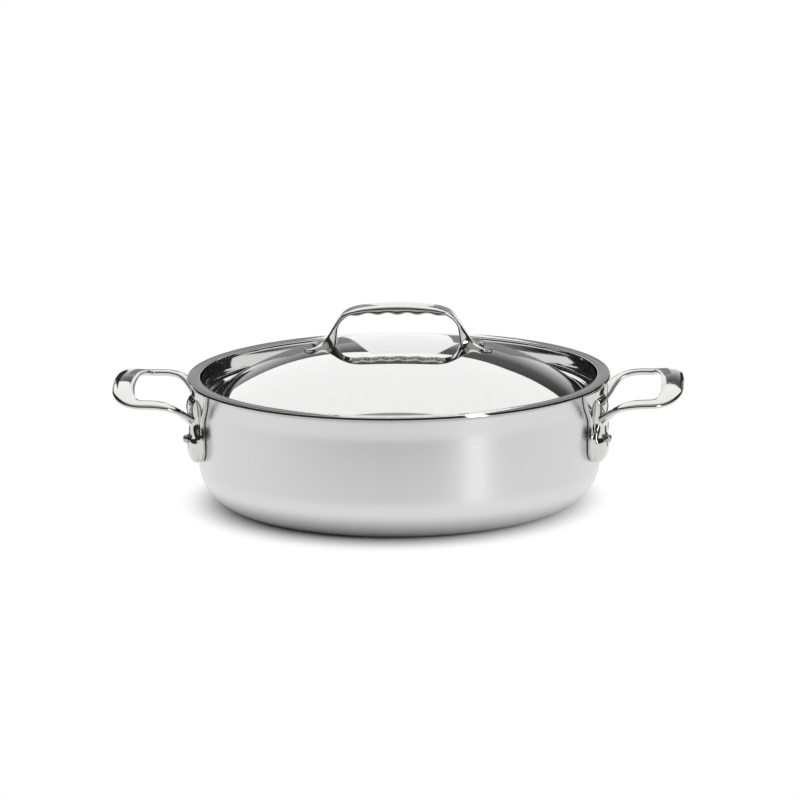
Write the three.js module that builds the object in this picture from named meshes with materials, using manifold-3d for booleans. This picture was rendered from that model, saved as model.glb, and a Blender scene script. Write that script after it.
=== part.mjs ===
import * as THREE from 'three';
import { mergeVertices } from 'three/addons/utils/BufferGeometryUtils.js';
import Module from 'manifold-3d';

const wasm = await Module();
wasm.setup();

// Two-handled saute pan with a recessed domed lid. Millimetres, base on z = 0, axis of the pan on z,
// loop handles on +x and -x. A size named "depth" is measured down from the top of the rim, and a size
// named "above" is measured up from it.

// Pan: a pressed body with a large base corner, a stepped mouth that seats the lid, and a flat lip.
const rimHeight = 90;
const rimRadius = 149;
const lipThickness = 1.2;
const wallRadius = 141.5;
const wallThickness = 2.4;
const baseCorner = 29;
const mouthDepth = 18;
const mouthRise = 6;
const mouthStep = 1.5;

// Lid: a flat-topped dome that drops into a gutter, with a thin flange resting on the mouth's step.
const lidThickness = 0.9;
const domeRadius = 131;
const domeRise = 37.5;
const domeDepth = 15;
const domeFlatness = 2.4;
const domeFullness = 0.9;
const flangeDepth = 13.3;
const flangeRadius = 140;

// Lid handle: a bridge with an arched top, straight legs and round toes, its underside scalloped for fingers.
const bridgeTopAbove = 50.2;
const bridgeUnderAbove = 44.6;
const barHalfWidth = 10;
const legHalfWidth = 7.6;
const legX = 43.4;
const toeX = 66;
const toeThickness = 2.7;
const toeHalfWidth = 10.4;
const scallopPitch = 13.7;
const scallopDepth = 1.6;
const scallopCount = 5;
const bridgeSquareness = 0.65;
const lidRivetX = 58;

// Side handle: a loop with a grip that rises to its middle, on two swelling feet, one rivet in each foot.
const footAngle = THREE.MathUtils.degToRad(14.4);
const footTopDepth = 3.4;
const footBottomDepth = 55.2;
const footHalfWidth = 15.2;
const footFan = 11.5;
const footEdge = 2.8;
const footCrown = 9.5;
const footTopCrown = 4.3;
const footArchStart = 0.714;
const footArchEnd = 0.882;
const ridgeShareLow = 0.93;
const ridgeShareHigh = 0.64;
const rivetDepth = 38.8;
const loopSpread = 55.2;
const loopDepth = 11;
const loopCornerX = 171;
const loopCornerPower = 3.2;
const loopHalfWidth = 6;
const loopHalfThickness = 2.3;
const loopLean = THREE.MathUtils.degToRad(10);
const loopSquareness = 0.8;
const gripReach = 192.7;
const gripRise = 6.5;
const gripHalfWidth = 8;

// Rivets: radius of the shank and of both heads, and the height of each head.
const handleRivetSize = { shank: 2, inner: 4, outer: 3, innerHeight: 1.5, outerHeight: 2.9 };
const lidRivetSize = { shank: 1.5, inner: 3, outer: 2.4, innerHeight: 1.2, outerHeight: 1.5 };

// Fit and fineness.
const clearance = 0.3;
const facetsRound = 56;
const facetsRivet = 12;
const drillBeyond = 5;
const ringPoints = 12;

const satin = { metalness: 1, color: 0xc9c8c9, roughness: 0.42 };
const polished = { metalness: 1, color: 0xd8d8d7, roughness: 0.12 };
const castPolished = { metalness: 1, color: 0xcfcfce, roughness: 0.16 };
const rivetSteel = { metalness: 1, color: 0xb9b8b7, roughness: 0.3 };

const yAxis = new THREE.Vector3(0, 1, 0);
const zAxis = new THREE.Vector3(0, 0, 1);
const { clamp, lerp, smoothstep } = THREE.MathUtils;

// A closed geometry as a solid for joining and cutting: corners merged, slivers dropped, faces outward.
function solidOf(geometry) {
  const bare = geometry.clone();
  bare.deleteAttribute('normal');
  bare.deleteAttribute('uv');
  const merged = mergeVertices(bare, 1e-4);
  const corners = merged.getAttribute('position').array;
  const index = merged.index.array;
  const kept = [];
  let volume = 0;
  for (let i = 0; i < index.length; i += 3) {
    const [a, b, c] = index.slice(i, i + 3);
    if (a === b || b === c || c === a) continue;
    kept.push(a, b, c);
    const [first, second, third] = [a, b, c].map((k) => new THREE.Vector3().fromArray(corners, k * 3));
    volume += first.dot(second.cross(third)) / 6;
  }
  if (volume < 0) kept.reverse();
  const vertProperties = new Float32Array(corners);
  const triVerts = new Uint32Array(kept);
  return new wasm.Manifold(new wasm.Mesh({ numProp: 3, vertProperties, triVerts }));
}

function geometryOf(solid) {
  const mesh = solid.getMesh();
  const geometry = new THREE.BufferGeometry();
  geometry.setAttribute('position', new THREE.BufferAttribute(new Float32Array(mesh.vertProperties), 3));
  geometry.setIndex(new THREE.BufferAttribute(new Uint32Array(mesh.triVerts), 1));
  geometry.computeVertexNormals();
  return geometry;
}

function meshOf(name, geometry, look) {
  const mesh = new THREE.Mesh(geometry, new THREE.MeshStandardMaterial(look));
  mesh.name = name;
  return mesh;
}

// Turns a profile of (radius, height) pairs about z.
function turned(profile) {
  const points = profile.map(([r, z]) => new THREE.Vector2(r, z));
  return new THREE.LatheGeometry(points, facetsRound).rotateX(Math.PI / 2);
}

// Skins a row of rings, each with the same number of points, and closes both ends with a fan.
function lofted(rings) {
  const count = rings[0].length;
  const middleOf = (ring) => ring.reduce((sum, p) => sum.add(p), new THREE.Vector3()).divideScalar(count);
  const points = rings.flat();
  const first = points.push(middleOf(rings[0])) - 1;
  const last = points.push(middleOf(rings.at(-1))) - 1;
  const index = [];
  for (let i = 0; i < rings.length - 1; i += 1) {
    for (let k = 0; k < count; k += 1) {
      const a = i * count + k;
      const b = i * count + ((k + 1) % count);
      index.push(a, b, b + count, a, b + count, a + count);
    }
  }
  const end = (rings.length - 1) * count;
  for (let k = 0; k < count; k += 1) {
    const next = (k + 1) % count;
    index.push(first, next, k, last, end + k, end + next);
  }
  return new THREE.BufferGeometry().setFromPoints(points).setIndex(index);
}

// Round-cornered strap section about a point: across is its width direction, up its thickness direction.
// A squareness of 1 gives an ellipse, and less gives a boxier section.
function strapRing(point, across, up, halfWidth, halfThickness, squareness, swellBelow = 0) {
  const soften = (value) => Math.sign(value) * Math.abs(value) ** squareness;
  const ring = [];
  for (let k = 0; k < ringPoints; k += 1) {
    const angle = ((k + 0.5) / ringPoints) * Math.PI * 2;
    const side = soften(Math.cos(angle)) * halfWidth;
    const rise = soften(Math.sin(angle));
    const height = rise < 0 ? rise * (halfThickness + swellBelow) : rise * halfThickness;
    ring.push(point.clone().addScaledVector(across, side).addScaledVector(up, height));
  }
  return ring;
}

// A smooth path through half its points, then the middle one, then the same half mirrored.
function mirroredPath(half, middle, mirror) {
  const near = half.map((point) => mirror(point));
  const far = half.map((point) => point.clone()).reverse();
  return new THREE.CatmullRomCurve3([...near, middle, ...far], false, 'centripetal');
}

// Outer wall radius at a height: straight, then stepped out at the mouth.
function wallAt(z) {
  const start = rimHeight - mouthDepth;
  return wallRadius + mouthStep * smoothstep(z, start, start + mouthRise);
}

// Wall surface lying a given distance inside the outer face, from the axis to a height near the rim.
function wallProfile(inset, top) {
  const profile = [[0, inset]];
  const radius = baseCorner - inset;
  const cornerSteps = 6;
  const mouthSteps = 4;
  for (let i = 0; i <= cornerSteps; i += 1) {
    const angle = (i / cornerSteps) * (Math.PI / 2);
    profile.push([wallRadius - baseCorner + radius * Math.sin(angle), baseCorner - radius * Math.cos(angle)]);
  }
  for (let i = 0; i <= mouthSteps; i += 1) {
    const z = rimHeight - mouthDepth + (i / mouthSteps) * mouthRise;
    profile.push([wallAt(z) - inset, z]);
  }
  profile.push([wallAt(top) - inset, top]);
  return profile;
}

// The pressed body: base, wall and mouth outside, over the flat lip, and back down the inside.
function panBody() {
  const lipFillet = 1.6;
  const mouthRound = 0.9;
  const under = rimHeight - lipThickness;
  const outside = wallProfile(0, under - lipFillet);
  const inside = wallProfile(wallThickness, rimHeight - mouthRound);
  const mouth = wallAt(rimHeight);
  const lip = [
    [mouth + 0.5, under - 0.5],
    [mouth + 1.7, under],
    [rimRadius - 0.4, under],
    [rimRadius, under + 0.35],
    [rimRadius, rimHeight - 0.35],
    [rimRadius - 0.4, rimHeight],
    [mouth - wallThickness + 0.8, rimHeight],
    [mouth - wallThickness + 0.2, rimHeight - 0.3],
  ];
  return turned([...outside, ...lip, ...inside.reverse()]);
}

// Height of the lid's upper face at a distance from the axis, within the dome.
function domeHeight(r) {
  const part = Math.min(1, r / domeRadius);
  return rimHeight - domeDepth + domeRise * (1 - part ** domeFlatness) ** domeFullness;
}

function domeSlope(r) {
  return domeHeight(r + 0.5) - domeHeight(r - 0.5);
}

// Upper face of the lid's crown, or a face parallel to it at a distance above (+) or below (-).
function domeProfile(offset) {
  const profile = [[0, domeHeight(0) + offset]];
  const steps = 11;
  const lastAngle = 1.47;
  for (let i = 1; i <= steps; i += 1) {
    const r = domeRadius * Math.sin((i / steps) * lastAngle);
    const slope = domeSlope(r);
    const length = Math.hypot(1, slope);
    profile.push([r - (offset * slope) / length, domeHeight(r) + offset / length]);
  }
  return profile;
}

function lidShell() {
  const flange = rimHeight - flangeDepth;
  const gutter = rimHeight - domeDepth;
  const over = [
    [domeRadius + 0.9, gutter - 0.2],
    [domeRadius + 2.6, gutter + 0.1],
    [domeRadius + 4.4, flange - 0.2],
    [flangeRadius - 0.6, flange],
    [flangeRadius, flange - 0.45],
  ];
  const under = [
    [flangeRadius - 0.5, flange - lidThickness],
    [domeRadius + 4.7, flange - lidThickness - 0.2],
    [domeRadius + 2.7, gutter - lidThickness + 0.1],
    [domeRadius - 0.1, gutter - lidThickness - 0.2],
  ];
  return turned([...domeProfile(0), ...over, ...under, ...domeProfile(-lidThickness).reverse()]);
}

// The bridge runs from toe to toe in the plane y = 0, between an outer and an inner outline that are
// given here as pairs of points (x, height above the rim) from the right toe to the middle of the bar.
// It is wide on the bar, narrow on the legs and round at the toes. Rings are close together on the bar.
function bridgeRings() {
  const onDome = (x) => domeHeight(x) - rimHeight;
  const buried = 1.2;
  const pairs = [
    [toeX, onDome(toeX) + 0.6 * toeThickness, toeX, onDome(toeX) - buried],
    [toeX - 9, onDome(toeX - 9) + toeThickness, toeX - 10, onDome(toeX - 10) - buried],
    [legX + 9, onDome(legX + 9) + 4.4, legX + 7, onDome(legX + 7) - buried],
    [legX + 5, 28.6, legX + 1, onDome(legX + 1) - buried],
    [legX + 2, 33.6, legX - 0.6, 29.4],
    [legX - 1.8, 39.2, legX - 1.8, 34.8],
    [legX - 5.2, 43.4, legX - 5.2, 39.2],
    [legX - 10.4, 46.2, legX - 9.6, 42.2],
    [legX - 17.4, 48.1, legX - 16.4, bridgeUnderAbove - 0.5],
    [12, bridgeTopAbove - 0.4, 12, bridgeUnderAbove],
    [0, bridgeTopAbove, 0, bridgeUnderAbove],
  ];
  const whole = [...pairs.map(([a, b, c, d]) => [-a, b, -c, d]), ...pairs.slice(0, -1).reverse()];
  const outer = new THREE.CatmullRomCurve3(whole.map(([x, z]) => new THREE.Vector3(x, 0, rimHeight + z)));
  const inner = new THREE.CatmullRomCurve3(whole.map(([, , x, z]) => new THREE.Vector3(x, 0, rimHeight + z)));
  const spans = whole.length - 1;
  const across = yAxis.clone().negate();
  const rings = [];
  for (let span = 0; span < spans; span += 1) {
    const onBar = Math.abs(span + 0.5 - spans / 2) < 2;
    const steps = onBar ? 6 : 2;
    const stops = span === spans - 1 ? steps : steps - 1;
    for (let i = 0; i <= stops; i += 1) {
      const t = (span + i / steps) / spans;
      const top = outer.getPoint(t);
      const bottom = inner.getPoint(t);
      const up = top.clone().sub(bottom);
      const halfThickness = up.length() / 2;
      const middle = top.clone().add(bottom).multiplyScalar(0.5);
      const reach = Math.abs(middle.x);
      const onLeg = smoothstep(reach, legX - 14, legX);
      const onToe = smoothstep(reach, legX + 2, legX + 11);
      const rounding = Math.sqrt(Math.max(0.04, 1 - smoothstep(reach, toeX - 9, toeX + 1) ** 2));
      const halfWidth = lerp(lerp(barHalfWidth, legHalfWidth, onLeg), toeHalfWidth, onToe) * rounding;
      const wave = 0.5 + 0.5 * Math.cos((2 * Math.PI * middle.x) / scallopPitch);
      const swell = reach < (scallopCount / 2) * scallopPitch ? scallopDepth * wave : 0;
      up.normalize();
      rings.push(strapRing(middle, across, up, halfWidth, halfThickness, bridgeSquareness, swell));
    }
  }
  return rings;
}

// The bridge's feet are trimmed to sit on the dome, and drilled.
function bridge(drills) {
  const keepOut = turned([...domeProfile(clearance), [domeRadius, 0], [0, 0]]);
  let solid = solidOf(lofted(bridgeRings())).subtract(solidOf(keepOut));
  for (const drill of drills) solid = solid.subtract(drill);
  return geometryOf(solid);
}

// One foot of a side handle: rings stacked from its round bottom (t = 0) to its top under the lip (t = 1).
// Each ring has a back that follows the wall and is eased just below its step, a narrow edge, a flat
// shoulder that widens towards the rim, and a full, round-cornered crown that arches back below the top.
function footRings(side) {
  const rings = [];
  const count = 13;
  const roundedPart = 0.212;
  const bottomFlat = 0.05;
  const fanStart = 0.546;
  const ridgeSpan = [0.265, 0.6];
  const waistSpan = [0.31, 0.79];
  const waistShare = 0.09;
  const shoulderStep = 0.7;
  const stepEase = 1.8;
  const backParts = [1, 0.5, 0, -0.5, -1];
  const crownParts = [-0.92, -0.6, 0, 0.6, 0.92];
  for (let i = 0; i <= count; i += 1) {
    const t = 0.5 - 0.5 * Math.cos((i / count) * Math.PI);
    const z = rimHeight - lerp(footBottomDepth, footTopDepth, t);
    const round = Math.sqrt(1 - (1 - Math.min(1, bottomFlat + t / roundedPart)) ** 2);
    const archPart = clamp((t - footArchStart) / (footArchEnd - footArchStart), 0, 1);
    const arch = Math.sqrt(1 - archPart ** 2);
    const fan = smoothstep(t, fanStart, 1);
    const waist = 1 - waistShare * Math.sin(Math.PI * smoothstep(t, ...waistSpan));
    const base = footHalfWidth * round * waist + footFan * fan;
    const ridge = footHalfWidth * lerp(ridgeShareLow * round, ridgeShareHigh, smoothstep(t, ...ridgeSpan));
    const shoulder = lerp(footEdge + shoulderStep, footTopCrown, fan);
    const crown = lerp(footTopCrown, footCrown, round * arch);
    const outline = backParts.map((part) => [part * base, 0]);
    outline.push([-base, footEdge], [-ridge, shoulder]);
    for (const part of crownParts) {
      outline.push([part * ridge, lerp(shoulder, crown, Math.cbrt(1 - Math.abs(part) ** 3))]);
    }
    outline.push([ridge, shoulder], [base, footEdge]);
    const seat = wallAt(z + stepEase) + clearance;
    rings.push(outline.map(([across, out]) => {
      const angle = side * footAngle + across / seat;
      return new THREE.Vector3((seat + out) * Math.cos(angle), (seat + out) * Math.sin(angle), z);
    }));
  }
  return rings;
}

// A point on the corner and the grip of the loop, which are a rounded rectangle in plan. Angle 0 is the end
// of the leg, and a quarter turn is the middle of the grip.
function gripPoint(angle) {
  const x = lerp(loopCornerX, gripReach, Math.sin(angle) ** (2 / loopCornerPower));
  const y = loopSpread * Math.cos(angle) ** (2 / loopCornerPower);
  const rise = gripRise * (1 - (y / loopSpread) ** 2);
  return new THREE.Vector3(x, y, rimHeight - loopDepth + rise);
}

// The loop leaves each foot, sweeps up and outward to a leg that leans outward, and turns into the grip.
// The sweep is given as points (x, distance short of the full spread, drop below the leg).
function loopRings() {
  const sweep = [
    [141.5, 18, 17],
    [144.5, 14.4, 13.4],
    [148, 9.8, 9.6],
    [152.8, 5, 5.2],
    [158.5, 1.7, 2],
    [165, 0.2, 0.5],
  ];
  const legHeight = rimHeight - loopDepth;
  const half = sweep.map(([x, short, drop]) => new THREE.Vector3(x, loopSpread - short, legHeight - drop));
  const cornerSteps = 6;
  for (let i = 0; i < cornerSteps; i += 1) half.push(gripPoint(((i / cornerSteps) * Math.PI) / 2));
  const mirror = (point) => new THREE.Vector3(point.x, -point.y, point.z);
  const path = mirroredPath(half, gripPoint(Math.PI / 2), mirror);
  const rings = [];
  const count = 44;
  const legSpan = [0.3, 0.55];
  const rootSpan = [0.84, 1];
  const rootSwell = { width: 1, thickness: 0.6 };
  for (let i = 0; i <= count; i += 1) {
    const along = path.getTangentAt(i / count);
    const across = new THREE.Vector3().crossVectors(along, zAxis).normalize();
    const up = new THREE.Vector3().crossVectors(across, along);
    const away = Math.abs((2 * i) / count - 1);
    const onLeg = smoothstep(away, ...legSpan);
    const root = smoothstep(away, ...rootSpan);
    across.applyAxisAngle(along, loopLean * onLeg);
    up.applyAxisAngle(along, loopLean * onLeg);
    const halfWidth = lerp(gripHalfWidth, loopHalfWidth, onLeg) + rootSwell.width * root;
    const halfThickness = loopHalfThickness + rootSwell.thickness * root;
    rings.push(strapRing(path.getPointAt(i / count), across, up, halfWidth, halfThickness, loopSquareness));
  }
  return rings;
}

// The casting on +x: loop and feet in one, drilled for its rivets.
function loopHandle(drills) {
  let solid = solidOf(lofted(loopRings()));
  for (const side of [-1, 1]) solid = solid.add(solidOf(lofted(footRings(side))));
  for (const drill of drills) solid = solid.subtract(drill);
  return geometryOf(solid);
}

// A rivet along y: a low head below the inside face, a shank, and a round head on the outside face.
function rivet(inside, outside, size) {
  const profile = [
    [0, inside - size.innerHeight],
    [size.inner * 0.6, inside - size.innerHeight * 0.85],
    [size.inner, inside - size.innerHeight * 0.35],
    [size.inner, inside],
    [size.shank, inside],
    [size.shank, outside],
    [size.outer, outside],
    [size.outer, outside + size.outerHeight * 0.45],
    [size.outer * 0.72, outside + size.outerHeight * 0.86],
    [0, outside + size.outerHeight],
  ].map(([r, y]) => new THREE.Vector2(r, y));
  return new THREE.LatheGeometry(profile, facetsRivet);
}

// A drill along a direction through an origin, reaching from one distance to another.
function drillOf(direction, origin, radius, from, to) {
  const bore = new THREE.CylinderGeometry(radius, radius, to - from, facetsRivet);
  bore.translate(0, (from + to) / 2, 0);
  bore.applyQuaternion(new THREE.Quaternion().setFromUnitVectors(yAxis, direction));
  return solidOf(bore.translate(origin.x, origin.y, origin.z));
}

function standing(mesh, direction, origin) {
  mesh.quaternion.setFromUnitVectors(yAxis, direction);
  mesh.position.copy(origin);
  return mesh;
}

const pan = new THREE.Group();
const lid = new THREE.Group();

// Handle rivets point straight out from the pan's axis through the middle of each foot.
const rivetOrigin = new THREE.Vector3(0, 0, rimHeight - rivetDepth);
const facetSag = 0.2;
const rivetInside = wallRadius - wallThickness - clearance - facetSag;
const rivetOutside = wallRadius + clearance + footCrown + clearance;
const rivetAngles = {
  right_front: -footAngle,
  right_back: footAngle,
  left_front: Math.PI + footAngle,
  left_back: Math.PI - footAngle,
};
const handleDrills = Object.entries(rivetAngles).map(([place, angle]) => {
  const direction = new THREE.Vector3(Math.cos(angle), Math.sin(angle), 0);
  const geometry = rivet(rivetInside, rivetOutside, handleRivetSize);
  pan.add(standing(meshOf(`handle_rivet_${place}`, geometry, rivetSteel), direction, rivetOrigin));
  const bore = handleRivetSize.shank + clearance;
  return drillOf(direction, rivetOrigin, bore, rivetInside - drillBeyond, rivetOutside + drillBeyond);
});

let body = solidOf(panBody());
for (const drill of handleDrills) body = body.subtract(drill);
pan.add(meshOf('pan_body', geometryOf(body), satin));

const casting = loopHandle(handleDrills.slice(0, 2));
const leftHandle = meshOf('handle_left', casting.clone(), castPolished);
leftHandle.rotation.z = Math.PI;
pan.add(meshOf('handle_right', casting, castPolished), leftHandle);

// Lid rivets stand square on the dome through the middle of each toe.
const toeLean = Math.atan(-domeSlope(lidRivetX));
const lidDrills = [1, -1].map((side) => {
  const direction = new THREE.Vector3(side * Math.sin(toeLean), 0, Math.cos(toeLean));
  const origin = new THREE.Vector3(side * lidRivetX, 0, domeHeight(lidRivetX));
  const geometry = rivet(-lidThickness - clearance, toeThickness + clearance, lidRivetSize);
  const name = side > 0 ? 'lid_rivet_right' : 'lid_rivet_left';
  lid.add(standing(meshOf(name, geometry, rivetSteel), direction, origin));
  return drillOf(direction, origin, lidRivetSize.shank + clearance, -drillBeyond, toeThickness + drillBeyond);
});

let shell = solidOf(lidShell());
for (const drill of lidDrills) shell = shell.subtract(drill);
lid.add(meshOf('lid_shell', geometryOf(shell), polished));
lid.add(meshOf('lid_handle', bridge(lidDrills), castPolished));

const sautePan = new THREE.Group();
sautePan.add(pan, lid);

export default sautePan;
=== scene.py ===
import math

import bpy
import numpy as np
from mathutils import Matrix


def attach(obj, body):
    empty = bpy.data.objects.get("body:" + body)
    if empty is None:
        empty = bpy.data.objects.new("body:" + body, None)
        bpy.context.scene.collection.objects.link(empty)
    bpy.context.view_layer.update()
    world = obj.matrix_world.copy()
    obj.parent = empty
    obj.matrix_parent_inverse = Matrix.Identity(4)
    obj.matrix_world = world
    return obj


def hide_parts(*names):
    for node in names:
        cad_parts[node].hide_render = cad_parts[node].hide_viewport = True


# Two-handled saute pan with a recessed domed lid. The pan's shapes are worked out in millimetres, base on
# z = 0, and put into the meshes in metres. The studio and the camera are in metres.
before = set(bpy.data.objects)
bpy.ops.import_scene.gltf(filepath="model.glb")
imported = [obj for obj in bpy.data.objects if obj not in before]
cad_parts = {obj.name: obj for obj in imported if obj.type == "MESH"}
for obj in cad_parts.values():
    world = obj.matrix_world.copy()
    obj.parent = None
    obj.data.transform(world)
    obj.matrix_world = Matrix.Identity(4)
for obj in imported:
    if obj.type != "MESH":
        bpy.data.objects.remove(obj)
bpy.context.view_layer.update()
millimetre = 0.001
print("frame loaded:", len(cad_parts), "nodes")


def linear(hexText):
    # sRGB hex colour to linear RGBA
    channels = np.array([int(hexText[i:i + 2], 16) for i in (1, 3, 5)]) / 255
    values = np.where(channels <= 0.04045, channels / 12.92, ((channels + 0.055) / 1.055) ** 2.4)
    return (*values.tolist(), 1.0)


def addNode(tree, kind, settings=None, inputs=None, links=None):
    # one node: settings are its own properties, inputs are plain values, links are sockets that feed it
    node = tree.nodes.new(kind)
    for name, value in (settings or {}).items():
        setattr(node, name, value)
    for name, value in (inputs or {}).items():
        node.inputs[name].default_value = value
    for name, socket in (links or {}).items():
        tree.links.new(socket, node.inputs[name])
    return node


def smooth(value, low, high):
    # 0 up to low, 1 from high, and an even S between: three squares less two cubes of the share covered
    part = np.clip((value - low) / (high - low), 0, 1)
    return part * part * (3 - 2 * part)


def between(first, second, part):
    # the first value at part 0, the second at part 1
    return first + (second - first) * part


def curveThrough(points, at):
    # centripetal Catmull-Rom curve through the points; at runs from 0 to 1 over equal shares of the spans
    points = np.asarray(points, float)
    padded = np.concatenate([[2 * points[0] - points[1]], points, [2 * points[-1] - points[-2]]])
    place = np.clip(np.asarray(at), 0, 1) * (len(points) - 1)
    span = np.minimum(place.astype(int), len(points) - 2)
    part = (place - span)[:, None]
    p0, p1, p2, p3 = (padded[span + k] for k in range(4))
    d0, d1, d2 = (np.sqrt(np.linalg.norm(b - a, axis=1))[:, None]
                  for a, b in ((p0, p1), (p1, p2), (p2, p3)))
    leave = ((p1 - p0) / d0 - (p2 - p0) / (d0 + d1) + (p2 - p1) / d1) * d1
    reach = ((p2 - p1) / d1 - (p3 - p1) / (d1 + d2) + (p3 - p2) / d2) * d1
    square, cube = part ** 2, part ** 3
    return (p1 * (2 * cube - 3 * square + 1) + leave * (cube - 2 * square + part)
            + p2 * (3 * square - 2 * cube) + reach * (cube - square))


def evenly(points, count):
    # the same line with its points an even distance apart
    steps = np.linalg.norm(np.diff(points, axis=0), axis=1)
    length = np.concatenate([[0], np.cumsum(steps)])
    at = np.linspace(0, length[-1], count)
    return np.stack([np.interp(at, length, points[:, k]) for k in range(points.shape[1])], axis=1)


def gridFaces(rows, columns):
    # quads between neighbouring rows of a grid whose columns close on themselves
    row, column = np.meshgrid(np.arange(rows - 1), np.arange(columns), indexing="ij")
    after = (column + 1) % columns
    corners = [row * columns + column, row * columns + after,
               (row + 1) * columns + after, (row + 1) * columns + column]
    return np.stack([corner.ravel() for corner in corners], axis=1)


def closedGrid(grid):
    # points and faces of a grid of rings (rows, columns, 3) whose two ends are closed by a fan
    rows, columns = grid.shape[:2]
    points = np.concatenate([grid.reshape(-1, 3), [grid[0].mean(axis=0)], [grid[-1].mean(axis=0)]])
    first, last = rows * columns, rows * columns + 1
    here = np.arange(columns)
    after = (here + 1) % columns
    top = (rows - 1) * columns
    startFan = [(first, b, a) for a, b in zip(here, after)]
    endFan = [(last, top + a, top + b) for a, b in zip(here, after)]
    return points, gridFaces(rows, columns).tolist() + startFan + endFan


def outward(points, faces):
    # the faces of a closed shell, turned over if the volume that they enclose counts as negative
    triangles = np.array([(f[0], f[k], f[k + 1]) for f in faces for k in range(1, len(f) - 1)])
    a, b, c = (points[triangles[:, k]] for k in range(3))
    volume = np.einsum("ij,ij->i", a, np.cross(b, c)).sum() / 6
    return [face[::-1] for face in faces] if volume < 0 else faces


def addPiece(name, points, faces, material, body, nodes):
    # a closed mesh from points in millimetres, faces turned outwards, riding on a body of the frame
    mesh = bpy.data.meshes.new(name)
    mesh.from_pydata((points * millimetre).tolist(), [], outward(points, faces))
    mesh.update()
    mesh.polygons.foreach_set("use_smooth", [True] * len(mesh.polygons))
    mesh.materials.append(material)
    piece = bpy.data.objects.new(name, mesh)
    bpy.context.scene.collection.objects.link(piece)
    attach(piece, body)
    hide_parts(*nodes)
    return piece


def wrapMap(piece, columns, along, girth):
    # UV in millimetres for a turned piece: u runs down the profile, v round the axis at a fixed girth
    mesh = piece.data
    layer = mesh.uv_layers.new(name="wrap")
    index = np.empty(len(mesh.loops), int)
    mesh.loops.foreach_get("vertex_index", index)
    row, column = np.divmod(index, columns)
    starts = np.empty(len(mesh.polygons), int)
    mesh.polygons.foreach_get("loop_start", starts)
    face = np.repeat(np.arange(len(starts)), np.diff(np.append(starts, len(index))))
    # faces that close the ring end at the last column plus one, not back at column 0
    highest = np.zeros(len(starts))
    np.maximum.at(highest, face, column)
    turn = np.where((highest[face] == columns - 1) & (column == 0), columns, column)
    distance = np.append(along, [along[0], along[-1]])
    u = distance[np.minimum(row, len(along) - 1)]
    places = np.stack([u, turn / columns * girth], axis=1)
    layer.data.foreach_set("uv", places.ravel().astype(np.float32))


def turnedPiece(name, profile, columns, material, body, nodes):
    # a profile of (radius, height) pairs carried round the pan's axis; it starts and ends near the axis
    angle = np.arange(columns) / columns * 2 * math.pi
    radius, height = profile[:, 0], profile[:, 1]
    grid = np.stack([np.outer(radius, np.cos(angle)), np.outer(radius, np.sin(angle)),
                     np.repeat(height[:, None], columns, axis=1)], axis=2)
    points, faces = closedGrid(grid)
    piece = addPiece(name, points, faces, material, body, nodes)
    along = np.concatenate([[0], np.cumsum(np.linalg.norm(np.diff(profile, axis=0), axis=1))])
    wrapMap(piece, columns, along, 2 * math.pi * radius.max())
    return piece


def arc(centre, radius, start, end, count):
    # arc of a profile about a centre (radius, height), angles in degrees from straight outwards
    angle = np.radians(np.linspace(start, end, count))
    return np.stack([centre[0] + radius * np.cos(angle), centre[1] + radius * np.sin(angle)], axis=1)


def pointTable(*rows):
    # points that are listed one a row
    return np.array(rows, float)


# Materials

def steel(name, colour, roughness, anisotropic=0.0):
    material = bpy.data.materials.new(name)
    material.use_nodes = True
    tree = material.node_tree
    shader = tree.nodes["Principled BSDF"]
    shader.inputs["Metallic"].default_value = 1.0
    shader.inputs["Base Color"].default_value = linear(colour)
    shader.inputs["Roughness"].default_value = roughness
    shader.inputs["Anisotropic"].default_value = anisotropic
    return material, tree, shader


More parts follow.
